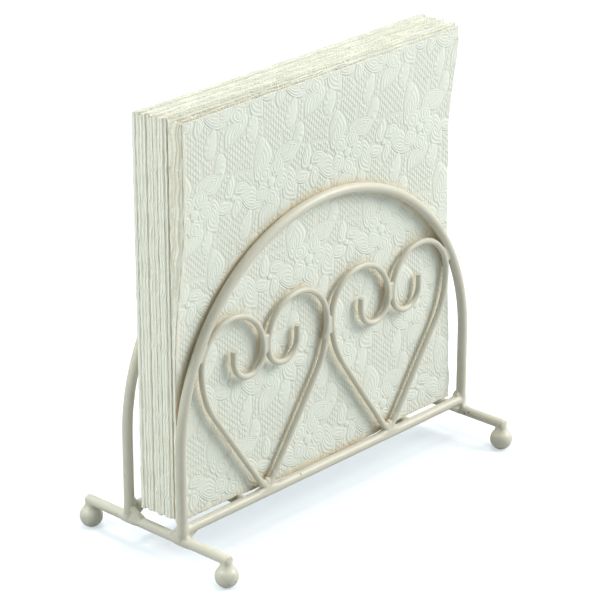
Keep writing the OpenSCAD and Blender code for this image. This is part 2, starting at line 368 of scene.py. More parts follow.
def fuse(name, parts, s):
    # one smooth skin over all the struts, like filler metal run into the joints
    bpy.ops.object.select_all(action="DESELECT")
    for part in parts:
        part.select_set(True)
    bpy.context.view_layer.objects.active = parts[0]
    bpy.ops.object.join()
    skin = bpy.context.object
    skin.name = name
    bpy.ops.object.transform_apply(location=True, rotation=True, scale=True)
    remesh = skin.modifiers.new("skin", "REMESH")
    remesh.mode = "VOXEL"
    remesh.voxel_size = s["voxel"]
    bpy.ops.object.modifier_apply(modifier=remesh.name)
    smooth = skin.modifiers.new("flow", "SMOOTH")
    smooth.factor = s["smoothShare"]
    smooth.iterations = s["smoothing"]
    bpy.ops.object.modifier_apply(modifier=smooth.name)
    bpy.ops.object.shade_smooth()
    return skin


cornerSet = {
    "legReach": 0.0105,
    "barReach": 0.0080,
    "railReach": 0.0105,
    "skirtUp": 0.0036,  # how far up the leg the filler runs
    "skirtIn": 0.0066,  # along the bar, towards the other frame
    "skirtOut": 0.0026,  # along the bar, towards the ball
    "skirtR": 0.0011,
    "nearShare": 0.62,  # the inner skirt's reach along the bar
    "swell": 0.0005,  # the bar stands out where the leg is buried in it
    "railGusset": 0.0072,
    "gussetShares": (1.0, 0.6),
    "overShare": 0.5,
    "gussetR": 0.00115,
    "lumpR": 0.0019,
    "lumps": (("right", "front"), ("left", "back")),
    "neckReach": 0.0048,
    "endReach": 0.0017,
    # places in wire radii, pairs are inwards and up
    "legFoot": 0.3,
    "legRing": 0.5,
    "swellRun": 3.2,
    "skirtHigh": 0.55,  # off the leg's middle, at the skirts' upper ends
    "skirtLow": 0.4,
    "skirtFlanks": (-0.45, 0.45),  # to both sides of the bar
    "farRise": 0.6,
    "nearRise": 0.7,
    "gussetRise": 0.7,
    "gussetRoot": (0.6, 0.2),
    "overRoot": (0.4, 1.7),
    "lumpFrom": (0.5, 0.8),
    "lumpTo": (1.5, 1.3),
    "lumpBack": 0.5,
    "neckFrom": 0.2,
    # thickness at both ends of the filler, in its own radius
    "skirtThick": (1.0, 0.8),
    "skirtInner": (1.4, 1.2),
    "gussetThick": (1.0, 1.4),
    "overThick": (0.8, 0.8),
    "lumpThick": (0.9, 1.0),
    # thickness at both ends of a flare, in wire radii
    "legRoot": (0.85, 1.13),
    "legThick": (1.13, 0.93),
    "swellThick": (1.03, 1.03),
    "swellFade": (1.03, 0.93),
    "barThick": (1.08, 0.93),
    "railThick": (1.12, 0.93),
    "endThick": (1.05, 1.05),
    "neckThick": (1.07, 0.93),
    # height above the ball's middle and radius, in ball radii
    "ballRings": ((0.10, 0.93), (0.45, 0.893), (0.72, 0.71)),
    "ballNeck": (0.1, 1.12),  # above the ball, in wire radii
    "ballRoot": (0.2, 0.98),  # above the bar's middle
}


def cornerParts(c):
    parts = []
    wireR = boxMiddle("left_foot_bar")[1][2] / 2
    for side, sx in (("left", -1), ("right", 1)):
        barX, _, barZ = boxMiddle(side + "_foot_bar")[0]
        for face, sy in (("front", -1), ("back", 1)):
            arch, archSize = boxMiddle(face + "_arch")
            railZ = boxMiddle(face + "_rail")[0][2]
            legX = arch[0] + sx * (archSize[0] / 2 - wireR)
            y, top = arch[1], barZ + wireR
            foot, ring = (legX, y, barZ + wireR * c["legFoot"]), (legX, y, top + wireR * c["legRing"])
            parts.append(flare(foot, ring, wireR, c["legRoot"]))
            parts.append(flare(ring, (legX, y, top + c["legReach"]), wireR, c["legThick"]))

            # filler along the bar, and in skirts from the leg down to it
            for way, reach in ((sy, c["skirtOut"]), (-sy, c["skirtIn"])):
                stoutX = barX + sx * c["swell"]
                stout = (stoutX, y + way * wireR, barZ)
                fade = (barX, y + way * wireR * c["swellRun"], barZ)
                barEnd = (barX, y + way * c["barReach"], barZ)
                parts.append(flare((stoutX, y, barZ), stout, wireR, c["swellThick"]))
                parts.append(flare(stout, fade, wireR, c["swellFade"]))
                parts.append(flare((barX, y, barZ), barEnd, wireR, c["barThick"]))
                high = (legX, y + way * wireR * c["skirtHigh"], top + c["skirtUp"] * reach / c["skirtIn"])
                low = (legX, y + way * wireR * c["skirtLow"], top)
                for flank in c["skirtFlanks"]:
                    flankX = barX + flank * wireR
                    far = (flankX, y + way * reach, barZ + wireR * c["farRise"])
                    near = (flankX, y + way * reach * c["nearShare"], barZ + wireR * c["nearRise"])
                    parts.append(flare(high, far, c["skirtR"], c["skirtThick"]))
                    parts.append(flare(low, near, c["skirtR"], c["skirtInner"]))

            # the rail's end, with gussets below and above it
            railEnd = (legX - sx * c["railReach"], y, railZ)
            parts.append(flare((legX, y, railZ), railEnd, wireR, c["railThick"]))
            inward, rise = c["gussetRoot"]
            root = (barX - sx * wireR * inward, y, barZ + wireR * rise)
            for share in c["gussetShares"]:
                under = (legX - sx * c["railGusset"] * share, y, railZ - wireR * c["gussetRise"])
                parts.append(flare(under, root, c["gussetR"], c["gussetThick"]))
            over = (legX - sx * c["railGusset"] * c["overShare"], y, railZ + wireR * c["gussetRise"])
            inward, rise = c["overRoot"]
            root = (legX - sx * wireR * inward, y, railZ + wireR * rise)
            parts.append(flare(over, root, c["gussetR"], c["overThick"]))
            if (side, face) in c["lumps"]:
                inward, rise = c["lumpFrom"]
                start = (legX - sx * wireR * inward, y, railZ + wireR * rise)
                inward, rise = c["lumpTo"]
                lump = (legX - sx * wireR * inward, y - sy * wireR * c["lumpBack"], railZ + wireR * rise)
                parts.append(flare(start, lump, c["lumpR"], c["lumpThick"]))

            # the ball drawn up into the end of the bar
            (ballX, ballY, _), ballSize = boxMiddle(face + "_" + side + "_foot")
            ballR = ballSize[0] / 2
            ballTop = barZ - wireR
            ballZ = ballTop - ballR
            rings = [(ballZ + ballR * rise, ballR * out) for rise, out in c["ballRings"]]
            for z, (rise, out) in ((ballTop, c["ballNeck"]), (barZ, c["ballRoot"])):
                rings.append((z + wireR * rise, wireR * out))
            parts += chain([((ballX, ballY, z), r) for z, r in rings])
            end = (ballX, ballY + sy * c["endReach"], barZ)
            parts.append(flare((ballX, ballY, barZ), end, wireR, c["endThick"]))
            neck = (ballX, ballY - sy * wireR * c["neckFrom"], barZ)
            neckEnd = (ballX, ballY - sy * c["neckReach"], barZ)
            parts.append(flare(neck, neckEnd, wireR, c["neckThick"]))
    return parts


heartSet = {
    "spread": math.radians(19),  # half the arc of a flare, on a lobe and on the arch
    "archSpread": math.radians(4.2),
    "legLean": math.radians(34.96),  # the hearts' straight legs, from upright
    "bridge": 0.0030,
    "bridgeR": 0.00105,
    "bridgeSteps": (-1, -0.5, 0, 0.5, 1),
    "bridgeBury": 0.5,  # inside the arch's middle, in its wire's radius
    "legReach": 0.0085,
    "railReach": 0.0080,
    "fill": 0.0052,
    "lobeRise": 0.0010,  # above the lobes' middles, between the lobes of one heart
    "heartRise": -0.0025,  # between the two hearts
    "archRise": -0.0017,
    "tipRise": 0.55,  # above the rail's middle, in its radius
    # thickness in wire radii: middle and ends of an arc, both ends of a straight flare
    "lobeThick": (1.06, 0.9),
    "archThick": (1.03, 0.94),
    "legThick": (1.25, 0.9),
    "fillThick": (1.25, 0.7),
    "railThick": (0.95, 0.93),
}


def heartParts(face, h, steps):
    parts = []
    scroll, scrollSize = boxMiddle(face + "_left_heart_right_scroll")
    wireR, y = scrollSize[1] / 2, scroll[1]
    rail, railSize = boxMiddle(face + "_rail")
    railR = railSize[2] / 2
    archLow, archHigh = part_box(face + "_arch")
    archR = (archHigh[0] - archLow[0]) / 2 - railR
    archZ = archHigh[2] - railR - archR
    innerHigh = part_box(face + "_left_heart_right_scroll")[1]
    gap = wireR - innerHigh[0]  # from a lobe's wire to the plane between two lobes
    outerLow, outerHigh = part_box(face + "_right_heart_right_scroll")
    heartX = (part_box(face + "_right_heart_left_scroll")[1][0] + outerLow[0]) / 2
    lobeR = (heartX - 2 * gap) / 2
    lobeZ = outerHigh[2] - wireR - lobeR
    bridgeR = h["bridgeR"]

    # lobe to lobe
    for x, rise in ((-heartX, h["lobeRise"]), (0.0, h["heartRise"]), (heartX, h["lobeRise"])):
        for way in (-1, 1):
            middle = math.pi - rise / lobeR if way > 0 else rise / lobeR
            centre = (x + way * (lobeR + gap), lobeZ)
            parts += arcFlare(centre, lobeR, middle, h["spread"], y, wireR, h["lobeThick"], steps)
        for step in h["bridgeSteps"]:
            z = lobeZ + rise + h["bridge"] * step
            parts.append(strut((x - gap, y, z), (x + gap, y, z), bridgeR, bridgeR))

    for sx in (-1, 1):
        # lobe to arch
        centre = (sx * (heartX + lobeR + gap), lobeZ)
        lean = math.atan2(centre[1] - archZ, sx * centre[0])
        onLobe, onArch = lean + h["archRise"] / lobeR, lean + h["archRise"] / archR
        if sx < 0:
            onLobe, onArch = math.pi - onLobe, math.pi - onArch
        parts += arcFlare(centre, lobeR, onLobe, h["spread"], y, wireR, h["lobeThick"], steps)
        parts += arcFlare((0.0, archZ), archR, onArch, h["archSpread"], y, railR, h["archThick"], steps)
        for step in h["bridgeSteps"]:
            t = onArch + step * h["bridge"] / archR
            radii = (archR - railR - wireR, archR - railR * h["bridgeBury"])
            ends = [(r * math.cos(t), y, archZ + r * math.sin(t)) for r in radii]
            parts.append(strut(*ends, bridgeR, bridgeR))

        # heart's tip to rail
        tipX, tipZ = sx * heartX, rail[2] + railR * h["tipRise"]
        tip = (tipX, y, tipZ)
        legX, legZ = h["legReach"] * math.sin(h["legLean"]), h["legReach"] * math.cos(h["legLean"])
        for way in (-1, 1):
            parts.append(flare(tip, (tipX + way * legX, y, tipZ + legZ), wireR, h["legThick"]))
            parts.append(flare(tip, (tipX + way * h["railReach"], y, rail[2]), railR, h["railThick"]))
        parts.append(flare(tip, (tipX, y, tipZ + h["fill"]), wireR, h["fillThick"]))
    return parts


restSet = {
    "restReach": 0.0070,
    "railReach": 0.0060,
    "restThick": (1.25, 0.93),
    "railThick": (1.03, 0.93),
}


def restParts(r):
    parts = []
    for side in ("left", "right"):
        (restX, _, restZ), restSize = boxMiddle(side + "_rest")
        wireR = restSize[2] / 2
        for face, sy in (("front", -1), ("back", 1)):
            _, railY, railZ = boxMiddle(face + "_rail")[0]
            meet = (restX, railY, railZ)
            inward = (restX, railY - sy * (wireR + r["restReach"]), restZ)
            parts.append(flare(meet, inward, wireR, r["restThick"]))
            for way in (-1, 1):
                along = (restX + way * r["railReach"], railY, railZ)
                parts.append(flare(meet, along, wireR, r["railThick"]))
    return parts


def buildWelds(s):
    jobs = (
        ("corner_flares", "corner_welds", cornerParts(cornerSet)),
        ("front_heart_flares", "front_heart_welds", heartParts("front", heartSet, s["arcSteps"])),
        ("back_heart_flares", "back_heart_welds", heartParts("back", heartSet, s["arcSteps"])),
        ("rest_flares", "rest_welds", restParts(restSet)),
    )
    for name, node, parts in jobs:
        skin = fuse(name, parts, s)
        skin.data.materials.append(weldEnamel)
        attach(skin, "holder")
        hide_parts(node)
        print("welds:", name, len(skin.data.polygons))


buildWelds(weldSet)


# embossed tissue
tissueSet = {
    "colour": (0.785, 0.82, 0.755, 1),
    # painted shade in the emboss hollows, with fibre grain; on the cut edges, the fluff tone
    "hollow": (0.73, 0.735, 0.65, 1),
    # painted shade in the slots of the dashed ground
    "slot": (0.57, 0.59, 0.51, 1),
    # painted warm shade where surfaces lie close together
    "warmShade": (0.80, 0.63, 0.40, 1),
    # painted light: the pressed folds on the stack's left side are lighter than the face
    "fold": (0.94, 0.95, 0.865, 1),
    "gap": (0.82, 0.74, 0.53, 1),  # painted warm shade deep between the leaves, also in the creases and the leaf lines
    # painted shade: the cut edges are darker for the narrow gaps between the leaves
    "edge": (0.51, 0.52, 0.475, 1),
    "faceShares": (0.12, 0.62, 0.6),  # of the painted gap shade, the painted warm shade and the leaf lines
    "stackShares": (0.5, 0.2, 0.0),
    "rough": 0.95,
    "shine": 0.12,
    "edgeShine": 0.1,
    "bump": 0.00044,
    "bumpShare": 1.0,
    # the pattern, in millimetres on the flat sheet
    "sheet": 330.0,
    "pitch": 46.0,  # blossoms in a row, and between rows
    "rowPitch": 39.0,
    "warp": 5.0,
    "sway": (9.0, 1.0, 0.5),  # noises: scale, detail, roughness
    # rings of leaves: count, inner and outer radius, half width, swirl, turn, fullness
    "leaves": (5, 7.5, 19.4, 6.2, 0.05, 0.3, 0.75),
    "petals": (5, 1.5, 11.0, 5.0, -0.02, 0.9, 1.25),
    "buds": (4, 1.0, 10.0, 3.6, 0.10, 0.4, 1.1),
    "sprays": (2, 0.8, 12.5, 4.2, 0.09, 0.5, 0.9),
    "blossomEye": 2.6,
    "budEye": 1.5,
    "eyeRim": 0.6,
    "eyeSlope": 0.12,
    "ridge": 1.8,
    "ridgeDeep": 0.13,
    "raised": 0.42,
    "rim": (-0.5, 0.8),
    "domeSlope": 0.10,
    "domeTop": 0.3,
    "hatch": 0.7,
    # waves a millimetre across and up the sheet, and weight
    "dashes": ((0.335, 0.385, 0.36), (0.355, -0.400, 0.26), (0.690, -0.015, 0.38)),
    "dashRange": (-0.9, 0.4),
    "dashHigh": 0.44,
    "groundHigh": 0.02,
    "clear": (-0.2, -1.6),  # the ground keeps clear of the leaves
    "slotRange": (0.1, -0.7),
    "slotShadeShare": 0.62,
    # along the folds, by the distance from the fold
    "pressed": (3.0, 0.9),
    "foldRidge": 0.68,
    "creaseDeep": 0.26,
    "foldHigh": 0.35,
    "drift": (34, 2, 0.5),
    "driftReach": 1.6,
    "shake": (170, 2, 0.5),
    "shakeReach": 0.7,
    "creaseRange": (0.5, -0.7),
    "creaseShadeShare": 0.4,
    "foldLightRange": (3.0, 1.2),
    # where the painted gap shade lies: a band off the fold, and near the cut edges
    "deepFrom": (0.7, 1.1),
    "deepTo": (6.0, 3.0),
    "deepEdge": (3.0, 1.0, 0.0, 0.3),
    # fibres and shade
    "fibre": (700, 3, 0.6),
    "fibreShade": 0.16,
    "fibreHigh": 0.10,
    "hollowRange": (0.45, 0.0, 0.0, 0.45),
    "warmReach": 0.006,
    "warmSamples": 8,
    "warmFold": (5.0, 2.0, 0.0, 0.3),
    "warmEdge": (1.0, 8.0, 0.35, 1.0),
    "warmClose": (0.85, 0.30),
    "fluff": (120, 3, 0.6),
    "fluffRange": (0.45, 0.8),
    # leaf lines where the front fold is open, painted in the gap shade and pressed in as grooves
    "fanPitch": 0.145,  # counted in roots of millimetres from the fold
    "fanNoise": (30, 2, 0.5),
    "fanShake": 0.03,
    "fanLine": (0.1, 0.9),
    "fanWide": (0.34, 0.26),
    "fanUp": (0.095, 0.135),  # metres up, where they begin and where they are full
    "fanDeep": 0.9,
}


def wrapped(group, value, period):
    half = calc(group, "ADD", value, period / 2)
    return calc(group, "SUBTRACT", calc(group, "FLOORED_MODULO", half, period), period / 2)


def polar(group, x, y):
    squares = calc(group, "ADD", calc(group, "MULTIPLY", x, x), calc(group, "MULTIPLY", y, y))
    return calc(group, "SQRT", squares), calc(group, "ARCTAN2", y, x)


def leafRing(group, place, count, inner, outer, wide, swirl, turn, fullness):
    # how deep a point lies inside a ring of leaves, in millimetres
    r, angle = place
    swung = calc(group, "ADD", calc(group, "MULTIPLY_ADD", r, swirl, angle), turn)
    folded = wrapped(group, swung, 2 * math.pi / count)
    across = calc(group, "ABSOLUTE", calc(group, "MULTIPLY", folded, r))
    along = calc(group, "DIVIDE", calc(group, "SUBTRACT", r, inner), outer - inner)
    along = calc(group, "MINIMUM", calc(group, "MAXIMUM", along, 0.0), 1.0)
    swell = calc(group, "SINE", calc(group, "MULTIPLY", calc(group, "POWER", along, fullness), math.pi))
    return calc(group, "SUBTRACT", calc(group, "MULTIPLY", swell, wide), across)


def relief(group, s, depth, across):
    # raised inside, with ridges that follow the outline or run across it
    mask = ramp(group, depth, *s["rim"])
    lines = calc(group, "COSINE", calc(group, "MULTIPLY", across, 2 * math.pi / s["ridge"]))
    lines = calc(group, "MULTIPLY_ADD", lines, -s["ridgeDeep"], s["raised"])
    dome = calc(group, "MINIMUM", calc(group, "MULTIPLY", depth, s["domeSlope"]), s["domeTop"])
    return mask, calc(group, "ADD", lines, dome)


def layer(group, under, mask, over):
    keep = calc(group, "SUBTRACT", 1.0, mask)
    return calc(group, "MULTIPLY_ADD", over, mask, calc(group, "MULTIPLY", under, keep))


def embossGroup(s):
    group, place, leave = newGroup("tissueEmboss", ("Height", "Fold", "Edge", "Crease", "Slot"))
    pitch, rowPitch, half = s["pitch"], s["rowPitch"], s["sheet"] / 2

    def do(operation, *values):
        return calc(group, operation, *values)

    split = group.nodes.new("ShaderNodeSeparateXYZ")
    group.links.new(place, split.inputs[0])
    flatX = do("MULTIPLY", split.outputs["X"], s["sheet"])
    flatY = do("MULTIPLY", split.outputs["Y"], s["sheet"])
    sway = group.nodes.new("ShaderNodeSeparateColor")
    group.links.new(noise(group, place, *s["sway"], out="Color"), sway.inputs[0])
    x = do("MULTIPLY_ADD", sway.outputs[0], s["warp"], flatX)
    y = do("MULTIPLY_ADD", sway.outputs[1], s["warp"], flatY)

    # blossoms on a brick lattice, small ones half way between them
    row = do("FLOOR", do("DIVIDE", do("ADD", y, rowPitch / 2), rowPitch))
    shifted = do("MULTIPLY_ADD", do("FLOORED_MODULO", row, 2.0), pitch / 2, x)
    cellY = wrapped(group, y, rowPitch)
    big = polar(group, wrapped(group, shifted, pitch), cellY)
    small = polar(group, wrapped(group, do("ADD", shifted, pitch / 2), pitch), cellY)
    leaves = leafRing(group, big, *s["leaves"])
    petals = leafRing(group, big, *s["petals"])
    buds = leafRing(group, small, *s["buds"])

    # hatched sprays in the spaces between the rows
    sprayX = wrapped(group, do("SUBTRACT", x, pitch / 4), pitch / 2)
    sprayY = wrapped(group, do("SUBTRACT", y, rowPitch / 2), rowPitch)
    spray = polar(group, sprayX, sprayY)
    sprays = leafRing(group, spray, *s["sprays"])
    hatch = do("ADD", spray[0], do("MULTIPLY", sprays, s["hatch"]))

    # short upright dashes in slanting rows on the ground
    dash = 0.0
    for waveX, waveY, weight in s["dashes"]:
        phase = do("MULTIPLY_ADD", flatX, waveX, do("MULTIPLY", flatY, waveY))
        wave = do("COSINE", do("MULTIPLY", phase, 2 * math.pi))
        dash = do("MULTIPLY_ADD", wave, weight, dash)
    ground = do("MULTIPLY_ADD", ramp(group, dash, *s["dashRange"]), s["dashHigh"], s["groundHigh"])
    nearest = do("MAXIMUM", do("MAXIMUM", leaves, petals), do("MAXIMUM", buds, sprays))
    clear = ramp(group, nearest, *s["clear"])

    height = do("MULTIPLY", ground, clear)
    for depth, across in ((sprays, hatch), (leaves, leaves), (buds, buds), (petals, petals)):
        mask, over = relief(group, s, depth, across)
        height = layer(group, height, mask, over)
    for r, size in ((big[0], s["blossomEye"]), (small[0], s["budEye"])):
        eye = ramp(group, r, size, size * s["eyeRim"])
        height = layer(group, height, eye, do("MULTIPLY_ADD", r, -s["eyeSlope"], 1.0))

    # the folds are pressed smooth, with fine creases along them
    fold = do("ABSOLUTE", do("SUBTRACT", flatX, half))
    onFold = ramp(group, fold, *s["pressed"])
    crease = do("MULTIPLY_ADD", noise(group, place, *s["drift"]), s["driftReach"], flatX)
    crease = do("MULTIPLY_ADD", noise(group, place, *s["shake"]), s["shakeReach"], crease)
    crease = do("COSINE", do("MULTIPLY", crease, 2 * math.pi / s["foldRidge"]))
    height = layer(group, height, onFold, do("MULTIPLY_ADD", crease, s["creaseDeep"], s["foldHigh"]))
    bare = do("MULTIPLY", clear, do("SUBTRACT", 1.0, onFold))
    offX = do("SUBTRACT", half, fold)
    offY = do("SUBTRACT", half, do("ABSOLUTE", do("SUBTRACT", flatY, half)))
    putOut(group, leave, {
        "Height": height,
        "Fold": fold,
        "Edge": do("MINIMUM", offX, offY),
        "Crease": do("MULTIPLY", onFold, ramp(group, crease, *s["creaseRange"])),
        "Slot": do("MULTIPLY", bare, ramp(group, dash, *s["slotRange"])),
    })
    return group


def leafLines(tree, s, place, fold, share):
    # leaves that fan out where the fold is open
    shake = noise(tree, place, *s["fanNoise"])
    spread = calc(tree, "MULTIPLY_ADD", shake, s["fanShake"], calc(tree, "SQRT", fold))
    lines = calc(tree, "COSINE", calc(tree, "MULTIPLY", spread, 2 * math.pi / s["fanPitch"]))
    lines = calc(tree, "MULTIPLY", ramp(tree, lines, *s["fanLine"]), ramp(tree, fold, *s["fanWide"]))
    split = tree.nodes.new("ShaderNodeSeparateXYZ")
    tree.links.new(place, split.inputs[0])
    return calc(tree, "MULTIPLY", lines, ramp(tree, split.outputs["Z"], *s["fanUp"], 0.0, share))


def tissueMaterial(name, s, emboss, gapShadeShare, warmShadeShare, fanShare):
    mat, tree, shader = newMaterial(name)
    coords = tree.nodes.new("ShaderNodeTexCoord")
    sheet = useGroup(tree, emboss, coords.outputs["UV"])
    fold, edge = sheet["Fold"], sheet["Edge"]
    fibre = noise(tree, coords.outputs["Object"], *s["fibre"])

    def tint(colour, mask, share, key):
        return mixColour(tree, calc(tree, "MULTIPLY", mask, share), colour, s[key])

    # painted shade: darker where the emboss is low, mixed with fibre grain
    low = calc(tree, "MULTIPLY_ADD", fibre, s["fibreShade"], ramp(tree, sheet["Height"], *s["hollowRange"]))
    colour = mixColour(tree, low, s["colour"], s["hollow"])
    # painted shade in the slots of the dashes
    colour = tint(colour, sheet["Slot"], s["slotShadeShare"], "slot")
    # painted light: lighter near the folds
    colour = mixColour(tree, ramp(tree, fold, *s["foldLightRange"]), colour, s["fold"])
    # painted shade in the fine creases along the folds
    colour = tint(colour, sheet["Crease"], s["creaseShadeShare"], "gap")
    # painted shade between the leaves, off the fold and near the cut edges
    gapShade = calc(tree, "MULTIPLY", ramp(tree, fold, *s["deepFrom"]), ramp(tree, fold, *s["deepTo"]))
    gapShade = calc(tree, "MAXIMUM", gapShade, ramp(tree, edge, *s["deepEdge"]))
    colour = tint(colour, gapShade, gapShadeShare, "gap")

    # painted warm shade where surfaces lie close, near the wires and between the leaves: light that has
    # gone back and forth in a narrow place comes out warm
    near = tree.nodes.new("ShaderNodeAmbientOcclusion")
    near.samples = s["warmSamples"]
    near.inputs["Distance"].default_value = s["warmReach"]
    share = calc(tree, "ADD", ramp(tree, fold, *s["warmFold"]), warmShadeShare)
    share = calc(tree, "MULTIPLY", share, ramp(tree, edge, *s["warmEdge"]))
    colour = tint(colour, ramp(tree, near.outputs["AO"], *s["warmClose"]), share, "warmShade")

    height = calc(tree, "MULTIPLY_ADD", fibre, s["fibreHigh"], sheet["Height"])
    # painted shade along the leaf lines, which are also pressed in as grooves
    if fanShare:
        lines = leafLines(tree, s, coords.outputs["Object"], fold, fanShare)
        colour = mixColour(tree, lines, colour, s["gap"])
        height = calc(tree, "MULTIPLY_ADD", lines, -s["fanDeep"], height)
    tree.links.new(colour, shader.inputs["Base Color"])
    shader.inputs["Roughness"].default_value = s["rough"]
    shader.inputs["Specular IOR Level"].default_value = s["shine"]
    addBump(tree, shader, height, s["bumpShare"], s["bump"])
    return mat


def edgeMaterial(name, s):
    # the cut edge of the paper, with no emboss; its colour is darkened as painted shade for the narrow gaps
    # between the leaves
    mat, tree, shader = newMaterial(name)
    coords = tree.nodes.new("ShaderNodeTexCoord")
    fluff = noise(tree, coords.outputs["Object"], *s["fluff"])
    colour = mixColour(tree, ramp(tree, fluff, *s["fluffRange"]), s["edge"], s["hollow"])
    tree.links.new(colour, shader.inputs["Base Color"])
    shader.inputs["Roughness"].default_value = s["rough"]
    shader.inputs["Specular IOR Level"].default_value = s["edgeShine"]
    return mat


# folded napkins
napkinSet = {
    "stacked": 10,  # napkins behind the front one
    "flat": 0.330,  # side of the open sheet
    "paper": 0.00046,
    "outerHalf": 0.00070,  # half gaps of the outer and the inner pair of leaves
    "innerHalf": 0.00024,
    "foldReach": 0.00018,  # how far a fold stands out beyond its flat leaves
    "foldSquare": 0.50,  # below one, the fold is squarer than a half round
    "foldNest": 0.6,  # the inner fold lies further in
    "cellAlong": 0.0032,
    "cellUp": 0.0015,
    "foldRows": 12,
    "foldMargin": 1.15,
    "smoothAngle": math.radians(50),
    "slipX": 0.00018,
    "slipZ": 0.000534,
    "slipTurn": math.radians(137.5),
    "foldSlip": 0.0003,  # the folds lie a little out of the sheet's middle, and askew
    "foldTilt": 0.002,
    "restGap": 0.0003,
    "restX": 0.052,
    "sag": 0.0019,  # the bottom folds hang between the rests
    "sagUp": (0.0, 0.060),  # where a change begins and how far it runs, here and below
    "leftX": -0.0845,
    "side": 0.165,
    "archCentre": 0.0476,
    "archFree": (0.0885, 0.040),  # outwards from the arch's centre
    "leanLeft": 0.0058,  # the front napkin opens before the arch at its upper left
    "opening": 0.0010,  # the middle of its fold, which takes up the lean
    "shortRight": 0.0041,  # the right edges end short in front, but for their top
    "shortUp": (0.010, 0.110),
    "shortAlong": (-0.020, 0.100),
    "topRight": 0.0054,
    "topUp": (0.140, 0.043),
    "backRight": 0.0030,  # the back of the stack leans away on the right
    "dip": 0.0016,  # stands lower on the left
    "stretch": 0.0028,  # and reaches further right at the top
    "backUp": (0.060, 0.120),
    "leafShare": 0.70,  # the outer leaves fill this share of the room, the fold all of it
    "foldFill": 0.005,
    "foldSlot": -0.00010,  # below nothing, the folds in the stack press together
    "liftSlot": 0.00013,  # room behind the front napkin, which has to lift out
    "foldBand": 0.004,  # how far from a fold or an edge the ripples run
    "edgeBand": 0.005,
    "dent": 0.00009,  # the line down the middle of each fold
    "dentWide": 0.0002,
    "dentOff": 0.0003,
    "ribs": (-0.00032, 0.00002, 0.00036),  # grooves where the front fold opens
    "ribDeep": 0.00040,
    "ribWide": 0.00013,
    # ripples: reach, how many waves, the shortest and the longest of them
    "dentSway": (0.00012, 3, 0.010, 0.060),
    "dentDeep": (0.00005, 3, 0.006, 0.030),
    "foldOut": (0.00010, 4, 0.005, 0.030),
    "foldAcross": (0.00010, 4, 0.0045, 0.020),
    "bottomUp": (0.00025, 4, 0.006, 0.040),
    "topAcross": (0.00008, 3, 0.007, 0.016),
    "topRipple": (0.00028, 4, 0.007, 0.030),
    "rightAcross": (0.00013, 3, 0.004, 0.012),
    "rightRipple": (0.00040, 4, 0.003, 0.030),
    "seed": 7,
}


def sheetLines(s, cell):
    # cut lines across the sheet: close together at the fold, even beyond it
    near = s["outerHalf"] * math.pi / 2 * s["foldMargin"]
    half = s["flat"] / 2
    fold = near * np.linspace(0, 1, s["foldRows"]) ** 2
    count = int(round((half - near) / cell))
    rest = near + (half - near) * np.arange(1, count + 1) / count
    line = np.concatenate([fold, rest])
    return np.concatenate([-line[:0:-1], line])


def ripple(rng, at, mask, reach, count, shortest, longest):
    # each wave draws its length, then its phase
    waves = [
        (2 * math.pi / rng.uniform(shortest, longest), rng.uniform(0, 2 * math.pi))
        for _ in range(count)
    ]
    return mask * reach * (sum(np.sin(k * at + p) for k, p in waves) / count)


def eased(value, start, run):
    t = np.clip((value - start) / run, 0, 1)
    return t * t * (3 - 2 * t)


def groove(y, middle, wide):
    return np.exp(-((y - middle) / wide) ** 2)


def freeOfArch(s, x, z):
    return eased(np.hypot(x, z - s["archCentre"]), *s["archFree"])


def settle(s, x, y, z, front, frontBack, back):
    # only the front napkin leans forward, so it lifts out clear of the others
    t = np.clip((x - s["leftX"]) / s["side"], 0, 1)
    free = freeOfArch(s, x, z)
    middle = (front + frontBack) / 2
    lead = np.clip(0.5 - (y - middle) / s["opening"], 0, 1)
    share = (y - front) / (back - front)
    shift = share * s["backRight"] * t * free - lead * s["leanLeft"] * (1 - t) * free
    high = eased(z, *s["backUp"])
    short = s["shortRight"] * eased(z, *s["shortUp"]) - s["topRight"] * eased(z, *s["topUp"])
    right = s["stretch"] * share * t * high - (1 - share) * short * eased(x, *s["shortAlong"])
    return x + right, y + shift, z - s["dip"] * share * (1 - t * t) * high


